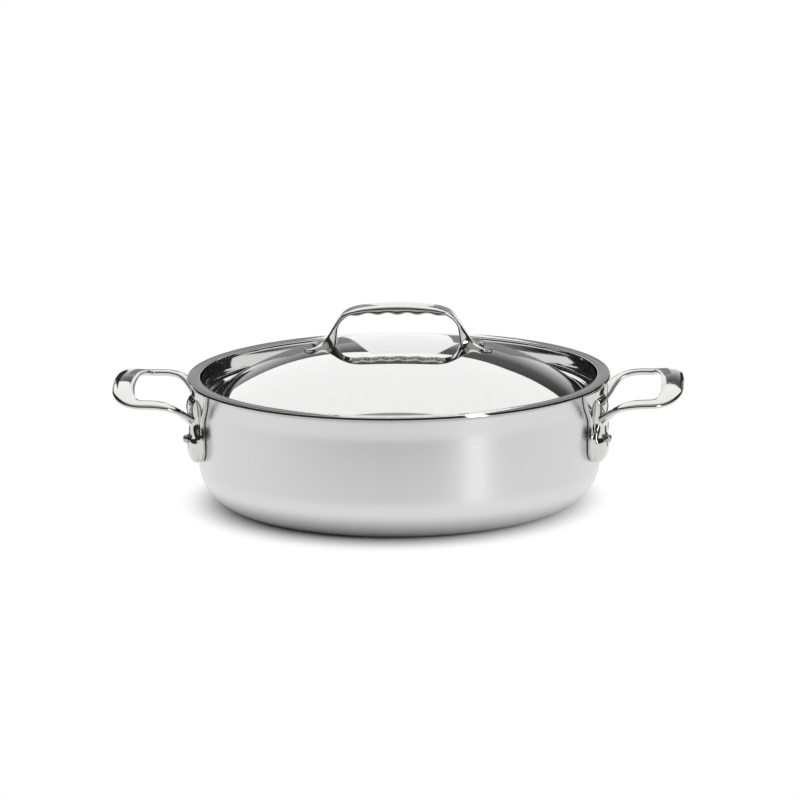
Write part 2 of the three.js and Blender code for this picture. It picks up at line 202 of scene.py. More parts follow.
def brushedSatinSteel():
    # Stainless steel, satin brushed round the pan on a lathe: fine lines run round the wall, so highlights
    # stand as upright streaks and the grey shifts a little from line to line. Just under the lip the grey is
    # darkened as painted shade.
    look = {"colour": "#dddcdd", "dark": "#dad9da", "roughness": 0.28, "grain": 0.02, "anisotropic": 0.5,
            "lineWidth": 0.45, "lineLength": 60.0, "lineDetail": 3.0, "lineRoughness": 0.6,
            "lineDepth": 0.006, "lineStrength": 0.015,
            "dull": "#a6a5a6", "paintedShadeUnderLipWidth": 3.0, "paintedShadeUnderLipTop": 87.2}
    material, tree, shader = steel("brushedSatinSteel", look["colour"], look["roughness"],
                                   look["anisotropic"])
    wrap = addNode(tree, "ShaderNodeUVMap", {"uv_map": "wrap"})
    stretch = addNode(tree, "ShaderNodeMapping",
                      inputs={"Scale": (1 / look["lineWidth"], 1 / look["lineLength"], 1)},
                      links={"Vector": wrap.outputs["UV"]})
    lines = addNode(tree, "ShaderNodeTexNoise", {"noise_dimensions": "2D"},
                    {"Scale": 1.0, "Detail": look["lineDetail"], "Roughness": look["lineRoughness"]},
                    {"Vector": stretch.outputs["Vector"]})
    tone = addNode(tree, "ShaderNodeMix", {"data_type": "RGBA"},
                   {"A": linear(look["dark"]), "B": linear(look["colour"])},
                   {"Factor": lines.outputs["Fac"]})
    # painted shade: the colour darkens to grey just under the lip, standing in for the lip's shadow
    place = addNode(tree, "ShaderNodeTexCoord")
    height = addNode(tree, "ShaderNodeSeparateXYZ", links={"Vector": place.outputs["Object"]})
    dull = addNode(tree, "ShaderNodeMapRange", {"interpolation_type": "SMOOTHSTEP"},
                   {"From Min": (look["paintedShadeUnderLipTop"] - look["paintedShadeUnderLipWidth"]) * millimetre,
                    "From Max": look["paintedShadeUnderLipTop"] * millimetre}, {"Value": height.outputs["Z"]})
    tone = addNode(tree, "ShaderNodeMix", {"data_type": "RGBA"}, {"B": linear(look["dull"])},
                   {"Factor": dull.outputs["Result"], "A": tone.outputs["Result"]})
    tree.links.new(tone.outputs["Result"], shader.inputs["Base Color"])
    grain = addNode(tree, "ShaderNodeMapRange",
                    inputs={"To Min": look["roughness"] - look["grain"],
                            "To Max": look["roughness"] + look["grain"]},
                    links={"Value": lines.outputs["Fac"]})
    tree.links.new(grain.outputs["Result"], shader.inputs["Roughness"])
    bump = addNode(tree, "ShaderNodeBump",
                   inputs={"Strength": look["lineStrength"], "Distance": look["lineDepth"] * millimetre},
                   links={"Height": lines.outputs["Fac"]})
    tree.links.new(bump.outputs["Normal"], shader.inputs["Normal"])
    tangent = addNode(tree, "ShaderNodeTangent", {"direction_type": "UV_MAP", "uv_map": "wrap"})
    tree.links.new(tangent.outputs["Tangent"], shader.inputs["Tangent"])
    return material


def polishedSteel(name, look):
    # Polished stainless steel: sharp reflections that wander a little where the sheet or casting isn't quite
    # true, and a haze of fine wiping marks that shifts the roughness between two shares of itself.
    wipe = {"detail": 4.0, "clearest": 0.7, "dullest": 1.4}
    material, tree, shader = steel(name, look["colour"], look["roughness"])
    place = addNode(tree, "ShaderNodeTexCoord")
    wave = addNode(tree, "ShaderNodeTexNoise",
                   inputs={"Scale": 1 / (look["waveSize"] * millimetre), "Detail": 1.0},
                   links={"Vector": place.outputs["Object"]})
    bump = addNode(tree, "ShaderNodeBump",
                   inputs={"Strength": 1.0, "Distance": look["waveDepth"] * millimetre},
                   links={"Height": wave.outputs["Fac"]})
    tree.links.new(bump.outputs["Normal"], shader.inputs["Normal"])
    haze = addNode(tree, "ShaderNodeTexNoise",
                   inputs={"Scale": 1 / (look["hazeSize"] * millimetre), "Detail": wipe["detail"]},
                   links={"Vector": place.outputs["Object"]})
    gloss = addNode(tree, "ShaderNodeMapRange",
                    inputs={"To Min": look["roughness"] * wipe["clearest"],
                            "To Max": look["roughness"] * wipe["dullest"]},
                    links={"Value": haze.outputs["Fac"]})
    tree.links.new(gloss.outputs["Result"], shader.inputs["Roughness"])
    tone = addNode(tree, "ShaderNodeMix", {"data_type": "RGBA"},
                   {"A": linear(look["dark"]), "B": linear(look["colour"])},
                   {"Factor": haze.outputs["Fac"]})
    tree.links.new(tone.outputs["Result"], shader.inputs["Base Color"])
    return material


satinSteel = brushedSatinSteel()
mirrorSteel = polishedSteel("mirrorPolishedSteel", {
    "colour": "#dadad9", "dark": "#d4d4d4", "roughness": 0.035,
    "waveSize": 70.0, "waveDepth": 0.02, "hazeSize": 9.0})
lipSteel = polishedSteel("buffedSheetSteel", {
    "colour": "#e2e2e2", "dark": "#dadada", "roughness": 0.05,
    "waveSize": 40.0, "waveDepth": 0.02, "hazeSize": 6.0})
castSteel = polishedSteel("polishedCastSteel", {
    "colour": "#d6d6d5", "dark": "#cdcdcc", "roughness": 0.07,
    "waveSize": 16.0, "waveDepth": 0.03, "hazeSize": 5.0})
rivetSteel = polishedSteel("upsetRivetSteel", {
    "colour": "#c3c2c1", "dark": "#b4b3b2", "roughness": 0.2,
    "waveSize": 4.0, "waveDepth": 0.03, "hazeSize": 2.0})
print("materials made")


# Pan body: a pressed shell turned about z, with a large base corner, a mouth stepped out for the lid and a
# flat lip. Turns are in degrees, and lipPoints counts the points of the lip's four arcs.

pan = {"rimHeight": 90.0, "rimRadius": 149.0, "wallRadius": 141.5, "wallThickness": 2.4, "baseCorner": 29.0,
       "flareDepth": 19.0, "mouthDepth": 18.0, "mouthRise": 6.0, "mouthStep": 1.5, "mouthFillet": 1.5,
       "insideDrop": 2.2, "lipThickness": 1.9, "lipFall": 0.08, "lipSlant": 0.5, "lipOverEdge": 0.3,
       "lipUnderEdge": 0.25, "lipEdgeTurn": 20, "lipTopTurn": 86, "lipInner": 139.9, "lipInnerEdge": 0.4,
       "lipInnerDrop": 1.2, "lipPoints": (7, 7, 9, 6), "satinPast": 0.05, "baseShares": (0.05, 0.97),
       "baseRings": 12, "cornerRings": 26, "wallRings": 18, "stepRings": 13, "mouthRings": 10,
       "columns": 224}


def wallAt(height):
    # outer radius of the wall at a height: straight, then a gentle flare up to the lip
    rim = pan["rimHeight"]
    return pan["wallRadius"] + pan["mouthStep"] * smooth(height, rim - pan["flareDepth"], rim)


def seatAt(height):
    # inner radius of the wall at a height: straight, then stepped out as a seat for the lid
    start = pan["rimHeight"] - pan["mouthDepth"]
    step = pan["mouthStep"] * smooth(height, start, start + pan["mouthRise"])
    return pan["wallRadius"] - pan["wallThickness"] + step


def wallProfile(radiusAt, inset, top):
    # one face of base, corner and wall, from the axis upwards: the outer face, or the inner one further in
    centre = (pan["wallRadius"] - pan["baseCorner"], pan["baseCorner"])
    start = pan["rimHeight"] - pan["mouthDepth"]
    base = np.linspace(*pan["baseShares"], pan["baseRings"]) * centre[0]
    heights = np.concatenate([np.linspace(pan["baseCorner"], start, pan["wallRings"])[1:],
                              np.linspace(start, start + pan["mouthRise"], pan["stepRings"])[1:],
                              np.linspace(start + pan["mouthRise"], top, pan["mouthRings"])[1:]])
    return np.concatenate([np.stack([base, np.full(len(base), inset)], axis=1),
                           arc(centre, pan["baseCorner"] - inset, -90, 0, pan["cornerRings"]),
                           np.stack([radiusAt(heights), heights], axis=1)])


def panProfile():
    # up the outside, over the lip and down the inside; the lip falls a little outwards, and its outer edge
    # slants and is eased at both corners
    rim, under, reach = pan["rimHeight"], pan["rimHeight"] - pan["lipThickness"], pan["rimRadius"]
    mouth, fillet, inner = wallAt(pan["rimHeight"]), pan["mouthFillet"], pan["lipInner"]
    over, below, ease = pan["lipOverEdge"], pan["lipUnderEdge"], pan["lipInnerEdge"]
    turn, counts = pan["lipEdgeTurn"], pan["lipPoints"]
    lip = [arc((mouth + fillet, under - fillet), fillet, 180, 90, counts[0]),
           arc((reach - below, under + below), below, -90, turn, counts[1]),
           arc((reach - pan["lipSlant"] - over, rim - pan["lipFall"] - over), over, turn, pan["lipTopTurn"],
               counts[2]),
           arc((inner + ease, rim - ease), ease, 90, 180, counts[3]),
           pointTable((inner, rim - pan["lipInnerDrop"]))]
    return np.concatenate([wallProfile(wallAt, 0, under - fillet)[:-1], *lip,
                           wallProfile(seatAt, pan["wallThickness"], rim - pan["insideDrop"])[::-1]])


profile = panProfile()
panPiece = turnedPiece("panBody", profile, pan["columns"], satinSteel, "pan", ["pan_body"])
panPiece.data.materials.append(lipSteel)
# the outside, with the fan that closes its base, is satin up to the lip's underside; from there over the lip
# and down the inside it is polished
filletEnd = wallAt(pan["rimHeight"]) + pan["mouthFillet"]
satinRows = int(np.argmax(profile[:, 0] > filletEnd + pan["satinPast"]))
steelIndex = np.ones(len(panPiece.data.polygons), int)
steelIndex[:satinRows * pan["columns"]] = 0
steelIndex[-2 * pan["columns"]:-pan["columns"]] = 0
panPiece.data.polygons.foreach_set("material_index", steelIndex)
print("pan body made")


# Lid: a flat-topped dome that runs down into a gutter, with a thin flange on the mouth's step

lid = {"thickness": 0.9, "domeRadius": 131.0, "domeRise": 37.5, "domeDepth": 15.0, "domeFlatness": 2.4,
       "domeFullness": 0.9, "domeTurn": (0.004, 1.49), "domeRings": 96, "slopeStep": 0.25,
       "flangeDepth": 13.3, "flangeRadius": 139.5, "overRings": 33, "belowRings": 25, "edgeRadius": 0.45,
       "edgeTurn": 75, "edgePoints": 6, "columns": 256}


def domeHeight(radius):
    # height of the lid's upper face: a flattened crown that steepens towards the gutter
    part = np.clip(np.abs(radius) / lid["domeRadius"], 0, 1)
    return (pan["rimHeight"] - lid["domeDepth"]
            + lid["domeRise"] * (1 - part ** lid["domeFlatness"]) ** lid["domeFullness"])


def domeSlope(radius):
    # rise of the upper face over a short step outwards, for each millimetre of the step
    step = lid["slopeStep"]
    return (domeHeight(radius + step) - domeHeight(radius - step)) / (2 * step)


def lidProfile():
    # the dome's upper face, gutter and flange, a round edge, and back along the lower faces; radius goes with
    # the sine of a turn, so rings crowd where the dome is steep; the sheet's thickness is measured square to
    # the dome, and the points listed are those of the gutter's curves
    flange = pan["rimHeight"] - lid["flangeDepth"]
    gutter = pan["rimHeight"] - lid["domeDepth"]
    dome, brim, sheet, edge = (lid[k] for k in ("domeRadius", "flangeRadius", "thickness", "edgeRadius"))
    radius = dome * np.sin(np.linspace(*lid["domeTurn"], lid["domeRings"]))
    top = np.stack([radius, domeHeight(radius)], axis=1)
    slope = domeSlope(radius)
    length = np.hypot(1, slope)
    under = np.stack([radius + sheet * slope / length, domeHeight(radius) - sheet / length], axis=1)
    overPoints = pointTable((dome + 0.9, gutter - 0.2), (dome + 2.6, gutter + 0.1),
                            (dome + 4.4, flange - 0.2), (brim - 0.6, flange))
    belowPoints = pointTable((dome - 0.1, gutter - sheet - 0.2), (dome + 2.7, gutter - sheet + 0.1),
                             (dome + 4.7, flange - sheet - 0.2), (brim - 0.5, flange - sheet))
    over = curveThrough(np.concatenate([top[-1:], overPoints]), np.linspace(0, 1, lid["overRings"]))[1:]
    below = curveThrough(np.concatenate([under[-1:], belowPoints]), np.linspace(0, 1, lid["belowRings"]))[1:]
    tip = arc((brim - edge, flange - edge), edge, lid["edgeTurn"], -lid["edgeTurn"], lid["edgePoints"])
    return np.concatenate([top, over, tip, below[::-1], under[::-1]])


turnedPiece("lidShell", lidProfile(), lid["columns"], mirrorSteel, "lid", ["lid_shell"])
print("lid made")


# Lid handle: a bridge lofted between an outer and an inner outline, its underside scalloped for the fingers.
# Spans are distances from the leg or the toe over which one shape gives way to the next.

bridge = {"topAbove": 50.1, "underAbove": 43.9, "barHalfWidth": 10.0, "legX": 43.4, "legHalfWidth": 7.6,
          "legTaper": 0.6, "toeX": 66.0, "toeThickness": 2.7, "toeHalfWidth": 10.4, "sunk": 1.2,
          "buried": 0.35, "scallopPitch": 13.7, "scallopDepth": 1.6, "scallopCount": 5,
          "squareness": 0.65, "legSquareness": 0.42, "legSpan": (-14, 0), "toeSpan": (2, 11),
          "tipSpan": (-9, 1), "tipLeast": 0.01, "webSpan": (-1, 6), "webEnd": (-13, -5),
          "rings": 300, "ringPoints": 44}


def strapSection(count, squareness):
    # round-cornered sections, one a ring: cosine and sine of an angle, both raised to that ring's power
    # below one
    angle = (np.arange(count) + 0.5) / count * 2 * math.pi
    power = np.asarray(squareness)[:, None]
    return [np.sign(wave) * np.abs(wave) ** power for wave in (np.cos(angle), np.sin(angle))]


def onDome(x):
    # height of the lid's upper face at a distance from the axis, counted from the rim
    return float(domeHeight(x) - pan["rimHeight"])


def bridgeOutlines():
    # both outlines from toe to toe. The table runs from a toe to the middle of the bar: outer x and height,
    # inner x and height, heights counted from the rim.
    leg, toe, thick, sunk = (bridge[k] for k in ("legX", "toeX", "toeThickness", "sunk"))
    top, under = bridge["topAbove"], bridge["underAbove"]
    pairs = pointTable((toe, onDome(toe) + 0.6 * thick, toe, onDome(toe) - sunk),
                       (toe - 9, onDome(toe - 9) + thick, toe - 10, onDome(toe - 10) - sunk),
                       (leg + 9, onDome(leg + 9) + 4.4, leg + 7, onDome(leg + 7) - sunk),
                       (leg + 5, 28.6, leg + 1, onDome(leg + 1) - sunk),
                       (leg + 2, 33.6, leg - 0.6, 29.4),
                       (leg - 1.8, 39.2, leg - 1.8, 34.8),
                       (leg - 5.2, 43.4, leg - 5.2, 39.2),
                       (leg - 10.4, 46.2, leg - 9.6, 42.2),
                       (leg - 17.4, 48.1, leg - 16.4, under - 0.5),
                       (12, top - 0.4, 12, under),
                       (0, top, 0, under))
    whole = np.concatenate([pairs * (-1, 1, -1, 1), pairs[-2::-1]])
    at = np.linspace(0, 1, bridge["rings"])
    return curveThrough(whole[:, :2], at), curveThrough(whole[:, 2:], at)


def bridgeGrid():
    # each ring is a strap section across the line between both outlines: wide on the bar, narrow on the
    # legs, round at the toes, narrower on top where a leg spreads into its toe; its lower half swells by a
    # cosine of x between the fingers, and nothing goes deeper into the lid than it is buried
    outer, inner = bridgeOutlines()
    middle, half = (outer + inner) / 2, (outer - inner) / 2
    reach = np.abs(middle[:, 0])

    def spanned(place, span):
        return smooth(reach, bridge[place] + bridge[span][0], bridge[place] + bridge[span][1])

    onLeg, onToe = spanned("legX", "legSpan"), spanned("legX", "toeSpan")
    rounding = np.sqrt(np.maximum(bridge["tipLeast"], 1 - spanned("toeX", "tipSpan") ** 2))
    width = between(between(bridge["barHalfWidth"], bridge["legHalfWidth"], onLeg), bridge["toeHalfWidth"],
                    onToe)
    pitch = bridge["scallopPitch"]
    wave = 0.5 + 0.5 * np.cos(2 * math.pi * middle[:, 0] / pitch)
    swell = np.where(reach < bridge["scallopCount"] / 2 * pitch, bridge["scallopDepth"] * wave, 0)
    thickness = np.linalg.norm(half, axis=1)
    lower = (1 + swell / thickness)[:, None]
    squareness = between(bridge["squareness"], bridge["legSquareness"], onLeg)
    side, rise = strapSection(bridge["ringPoints"], squareness)
    lift = np.where(rise < 0, rise * lower, rise)
    web = spanned("legX", "webSpan") * (1 - spanned("toeX", "webEnd"))
    narrow = 1 - bridge["legTaper"] * web[:, None] * (0.5 + 0.5 * rise)
    grid = np.stack([middle[:, :1] + half[:, :1] * lift, -side * narrow * (width * rounding)[:, None],
                     pan["rimHeight"] + middle[:, 1:] + half[:, 1:] * lift], axis=2)
    deepest = domeHeight(np.hypot(grid[..., 0], grid[..., 1])) - bridge["buried"]
    grid[..., 2] = np.maximum(grid[..., 2], deepest)
    return grid


points, faces = closedGrid(bridgeGrid())
addPiece("lidHandle", points, faces, castSteel, "lid", ["lid_handle"])
print("lid handle made")


# Side handles: a swept loop that grows out of two feet, all one casting. Spans of the foot count from its
# bottom (0) to its top (1), legSpan and rootSpan from the middle of the grip (0) to the roots (1).

handle = {"footAngle": math.radians(14.4), "footTopDepth": 3.4, "footBottomDepth": 55.2,
          "footHalfWidth": 15.2, "footRound": 0.212, "footBlunt": 0.05, "footEdge": 2.8,
          "footCrown": 9.5, "footTopCrown": 4.3, "archSpan": (0.714, 0.882), "shoulderRise": 0.7,
          "footFan": 11.5, "fanFrom": 0.546, "waistDepth": 0.09, "waistSpan": (0.31, 0.79),
          "ridgeShareLow": 0.93, "ridgeShareHigh": 0.64, "ridgeSpan": (0.35, 0.55),
          "footStep": 1.5, "stepSpan": (0.275, 0.375), "stepEnd": (0.5, 0.75),
          "footRings": 90, "footColumns": 33, "backColumns": 17,
          "sweep": [(141.5, 18, 17), (144.5, 14.4, 13.4), (148, 9.8, 9.6), (152.8, 5, 5.2), (158.5, 1.7, 2),
                    (165, 0.2, 0.5)],
          "loopSpread": 55.2, "loopDepth": 11.0, "loopCornerX": 171.0, "loopCornerPower": 3.2,
          "loopHalfWidth": 6.0, "loopHalfThickness": 2.4, "loopLean": math.radians(10), "squareness": 0.9,
          "gripReach": 192.55, "gripRise": 6.5, "gripHalfWidth": 8.0, "gripHalfThickness": 3.0,
          "legSpan": (0.3, 0.55), "rootSpan": (0.84, 1), "rootWidth": 1.0, "rootThickness": 0.6,
          "cornerPoints": 13, "pathPoints": 1600, "rings": 260, "ringPoints": 40,
          "clearance": 0.3, "voxel": 0.42, "smoothing": 9, "smoothShare": 0.5}


def footGrid(side):
    # rings stacked from the foot's round bottom to its top under the lip: a back that follows the wall, a
    # narrow edge, a shoulder that widens to the rim, and a full crown, the cube root of one minus the cube of
    # the share across, that steps in above the rivet and arches back to the shoulder below the top
    part = 0.5 - 0.5 * np.cos(np.linspace(0, math.pi, handle["footRings"]))
    height = pan["rimHeight"] - between(handle["footBottomDepth"], handle["footTopDepth"], part)
    curve = np.sqrt(1 - (1 - np.minimum(1, handle["footBlunt"] + part / handle["footRound"])) ** 2)
    start, end = handle["archSpan"]
    arch = np.sqrt(1 - np.clip((part - start) / (end - start), 0, 1) ** 2)
    fan = smooth(part, handle["fanFrom"], 1)
    waist = 1 - handle["waistDepth"] * np.sin(math.pi * smooth(part, *handle["waistSpan"]))
    base = handle["footHalfWidth"] * curve * waist + handle["footFan"] * fan
    ridge = handle["footHalfWidth"] * between(handle["ridgeShareLow"] * curve, handle["ridgeShareHigh"],
                                              smooth(part, *handle["ridgeSpan"]))
    shoulder = between(handle["footEdge"] + handle["shoulderRise"], handle["footTopCrown"], fan)
    crown = between(handle["footTopCrown"], handle["footCrown"], curve * arch)
    crown = crown - (handle["footStep"] * smooth(part, *handle["stepSpan"])
                     * (1 - smooth(part, *handle["stepEnd"])))
    over = np.sin(np.linspace(-math.pi / 2, math.pi / 2, handle["footColumns"]))
    full = np.cbrt(1 - np.abs(over) ** 3)
    back = np.linspace(1, -1, handle["backColumns"])
    edge = np.full((len(part), 1), handle["footEdge"])
    across = np.concatenate([np.outer(base, back), -base[:, None], np.outer(ridge, over), base[:, None]],
                            axis=1)
    out = np.concatenate([np.zeros((len(part), len(back))), edge,
                          between(shoulder[:, None], crown[:, None], full), edge], axis=1)
    seat = wallAt(height)[:, None] + handle["clearance"]
    angle = side * handle["footAngle"] + across / seat
    return np.stack([(seat + out) * np.cos(angle), (seat + out) * np.sin(angle),
                     np.repeat(height[:, None], across.shape[1], axis=1)], axis=2)


def loopPath():
    # the sweep out of a foot, listed as x, distance short of the spread and drop below the leg, then corner
    # and grip as a rounded rectangle in plan, powers of a sine and a cosine, that rises as a parabola to its
    # middle
    spread, leg = handle["loopSpread"], pan["rimHeight"] - handle["loopDepth"]
    sweep = pointTable(*handle["sweep"])
    sweep = np.stack([sweep[:, 0], spread - sweep[:, 1], leg - sweep[:, 2]], axis=1)
    angle = np.linspace(0, math.pi / 2, handle["cornerPoints"])
    power = 2 / handle["loopCornerPower"]
    x = between(handle["loopCornerX"], handle["gripReach"], np.sin(angle) ** power)
    y = spread * np.abs(np.cos(angle)) ** power
    grip = np.stack([x, y, leg + handle["gripRise"] * (1 - (y / spread) ** 2)], axis=1)
    half = np.concatenate([sweep, grip])
    whole = np.concatenate([half * (1, -1, 1), half[-2::-1]])
    return evenly(curveThrough(whole, np.linspace(0, 1, handle["pathPoints"])), handle["rings"])


def loopGrid():
    # a strap section carried along the path; it is widest on the grip, leans outwards on the legs and is a
    # little stouter at the roots
    path = loopPath()
    along = np.gradient(path, axis=0)
    along /= np.linalg.norm(along, axis=1)[:, None]
    level = np.cross(along, (0, 0, 1.0))
    level /= np.linalg.norm(level, axis=1)[:, None]
    upright = np.cross(level, along)
    away = np.abs(np.linspace(-1, 1, handle["rings"]))
    onLeg, root = smooth(away, *handle["legSpan"]), smooth(away, *handle["rootSpan"])
    lean = (handle["loopLean"] * onLeg)[:, None]
    across = level * np.cos(lean) - upright * np.sin(lean)
    up = upright * np.cos(lean) + level * np.sin(lean)
    width = between(handle["gripHalfWidth"], handle["loopHalfWidth"], onLeg) + handle["rootWidth"] * root
    thickness = (between(handle["gripHalfThickness"], handle["loopHalfThickness"], onLeg)
                 + handle["rootThickness"] * root)
    side, rise = strapSection(handle["ringPoints"], np.full(len(path), handle["squareness"]))
    return (path[:, None] + across[:, None] * (width[:, None] * side)[..., None]
            + up[:, None] * (thickness[:, None] * rise)[..., None])


def castHandle():
    # loop and feet joined by a voxel skin, then smoothed so that the roots flow into the feet
    points, faces = [], []
    for grid in (loopGrid(), footGrid(-1), footGrid(1)):
        shell, quads = closedGrid(grid)
        start = sum(len(part) for part in points)
        points.append(shell)
        faces += [tuple(start + k for k in quad) for quad in outward(shell, quads)]
    mesh = bpy.data.meshes.new("castingRough")
    mesh.from_pydata(np.concatenate(points).tolist(), [], faces)
    rough = bpy.data.objects.new("castingRough", mesh)
    bpy.context.scene.collection.objects.link(rough)
    remesh = rough.modifiers.new("skin", "REMESH")
    remesh.mode = "VOXEL"
    remesh.voxel_size = handle["voxel"]
    relax = rough.modifiers.new("relax", "SMOOTH")
    relax.factor = handle["smoothShare"]
    relax.iterations = handle["smoothing"]
    evaluated = rough.evaluated_get(bpy.context.evaluated_depsgraph_get())
    whole = bpy.data.meshes.new_from_object(evaluated)
    points = np.empty(len(whole.vertices) * 3)
    whole.vertices.foreach_get("co", points)
    faces = [tuple(polygon.vertices) for polygon in whole.polygons]
    bpy.data.objects.remove(rough)
    bpy.data.meshes.remove(mesh)
    bpy.data.meshes.remove(whole)
    return points.reshape(-1, 3), faces


points, faces = castHandle()
addPiece("rightHandle", points, faces, castSteel, "pan", ["handle_right"])
addPiece("leftHandle", points * (-1, -1, 1), faces, castSteel, "pan", ["handle_left"])
print("side handles made:", len(faces), "faces each")


# Rivets: a low head inside, a shank, and a round head outside that is sunk a little into its seat. Those of
# the handles also have a collar that reaches down past the step in the foot.

rivets = {"columns": 36, "bendFrom": 0.02, "bendPoints": 12, "skirt": 0.3, "gap": 0.05}
handleRivet = {"depth": 38.8, "shank": 2.0, "inner": 4.0, "innerHeight": 1.5, "outer": 3.0,
               "outerHeight": 3.5, "seat": 0.6, "collar": 1.5}
lidRivet = {"x": 58.0, "shank": 1.5, "inner": 3.0, "innerHeight": 1.2, "outer": 2.4, "outerHeight": 2.1,
            "seat": 0.3, "collar": 0}


def rivetProfile(sizes, inside, outside):
    # (radius, distance along the rivet) from the inner head's top to the outer head's: both heads are a
    # short skirt under a quarter of an ellipse
    bend = np.linspace(rivets["bendFrom"], math.pi / 2, rivets["bendPoints"])
    head = rivets["skirt"] + (1 - rivets["skirt"]) * np.cos(bend)
    shank, inner, outer, collar = (sizes[k] for k in ("shank", "inner", "outer", "collar"))
    outside = outside - sizes["seat"]
    low = np.stack([inner * np.sin(bend), inside - sizes["innerHeight"] * head], axis=1)
    high = np.stack([outer * np.sin(bend), outside + sizes["outerHeight"] * head], axis=1)
    waist = pointTable((inner, inside), (shank, inside), (shank, outside - collar), (outer, outside - collar))
    return np.concatenate([low, waist, high[::-1]])


def addRivet(name, node, body, profile, direction, origin):
    # the profile carried round an axis that points in a direction from an origin
    direction = np.asarray(direction, float)
    mostlyUp = abs(direction[2]) > 0.5
    across = np.cross(direction, (0, 1, 0) if mostlyUp else (0, 0, 1))
    across /= np.linalg.norm(across)
    other = np.cross(direction, across)
    angle = np.arange(rivets["columns"]) / rivets["columns"] * 2 * math.pi
    ring = np.outer(np.cos(angle), across) + np.outer(np.sin(angle), other)
    grid = np.asarray(origin) + profile[:, 1, None, None] * direction + profile[:, 0, None, None] * ring
    points, faces = closedGrid(grid)
    return addPiece(name, points, faces, rivetSteel, body, [node])


profile = rivetProfile(handleRivet, pan["wallRadius"] - pan["wallThickness"] - rivets["gap"],
                       pan["wallRadius"] + handle["clearance"] * 2 + handle["footCrown"])
foot = handle["footAngle"]
for place, turn in {"right_front": -foot, "right_back": foot, "left_front": math.pi + foot,
                    "left_back": math.pi - foot}.items():
    name = "handleRivet" + "".join(word.capitalize() for word in place.split("_"))
    addRivet(name, "handle_rivet_" + place, "pan", profile, (math.cos(turn), math.sin(turn), 0),
             (0, 0, pan["rimHeight"] - handleRivet["depth"]))
profile = rivetProfile(lidRivet, -lid["thickness"] - rivets["gap"], bridge["toeThickness"])
lean = math.atan(-float(domeSlope(lidRivet["x"])))
for place, side in {"right": 1, "left": -1}.items():
    addRivet("lidRivet" + place.capitalize(), "lid_rivet_" + place, "lid", profile,
             (side * math.sin(lean), 0, math.cos(lean)),
             (side * lidRivet["x"], 0, float(domeHeight(lidRivet["x"]))))
print("rivets made")


# Studio: a white floor, a large softbox overhead that ends behind the pan, a strip light at the front right,
# a narrow lit panel behind the pan between two grey screens, and dark flags beside the handles

studio = {"floorRadius": 14.0, "floorSides": 64, "floorColour": "#f4f4f4", "clearFrom": 0.118,
          "clearTo": 0.16, "clearShift": (0.004, 0, 0), "clearScale": (1.04, 1, 1),
          "dimFrom": -0.3, "dimTo": -0.9, "dimLeast": 0.45, "cardLift": 0.001,
          "softHeight": 1.3, "softStrength": 1.25,
          "softCorners": [(-1.75, 2.35), (-0.65, 0.25), (0.65, 0.25), (1.7, 2.35), (0.6, 2.35), (-1.9, 4.6)],
          "stripCentre": (1.6, -1.62, 0.8), "stripSize": (0.42, 1.5), "stripStrength": 6.0,
          "stripLater": 0.8, "panelBack": 1.2, "panelStrength": 1.1,
          "panelCorners": [(-0.135, 0.08), (0.075, 0.08), (0.05, 0.62), (-0.125, 0.62)],
          "screenInner": {1: (0.005, 0.008, 0.05), -1: (0.06, 0.128, 0.135)},
          "screenOuter": {1: 0.2, -1: 0.3}, "screenFrom": 0.56, "screenBack": 1.19, "screenHeight": 0.31,
          "screenStrength": 0.26, "flagNear": (0.235, 0.12), "flagFar": (0.3, 0.9), "flagHeight": 0.17,
          "flagStrength": 0.03}


def stageCard(name, corners, strength, later=None):
    # a card that glows; a later strength, if given, shows in all but first reflections, which keeps the
    # metal beside polished edges free of sparkle
    mesh = bpy.data.meshes.new(name)
    mesh.from_pydata(corners, [], [tuple(range(len(corners)))])
    card = bpy.data.objects.new(name, mesh)
    bpy.context.scene.collection.objects.link(card)
    material = bpy.data.materials.new(name)
    material.use_nodes = True
    tree = material.node_tree
    tree.nodes.clear()
    glow = addNode(tree, "ShaderNodeEmission", inputs={"Strength": strength})
    if later is not None:
        path = addNode(tree, "ShaderNodeLightPath")
        level = addNode(tree, "ShaderNodeMapRange",
                        inputs={"From Min": 1.0, "From Max": 2.0, "To Min": strength, "To Max": later},
                        links={"Value": path.outputs["Ray Depth"]})
        tree.links.new(level.outputs["Result"], glow.inputs["Strength"])
    addNode(tree, "ShaderNodeOutputMaterial", links={"Surface": glow.outputs["Emission"]})
    mesh.materials.append(material)
    card.visible_camera = False
    return card


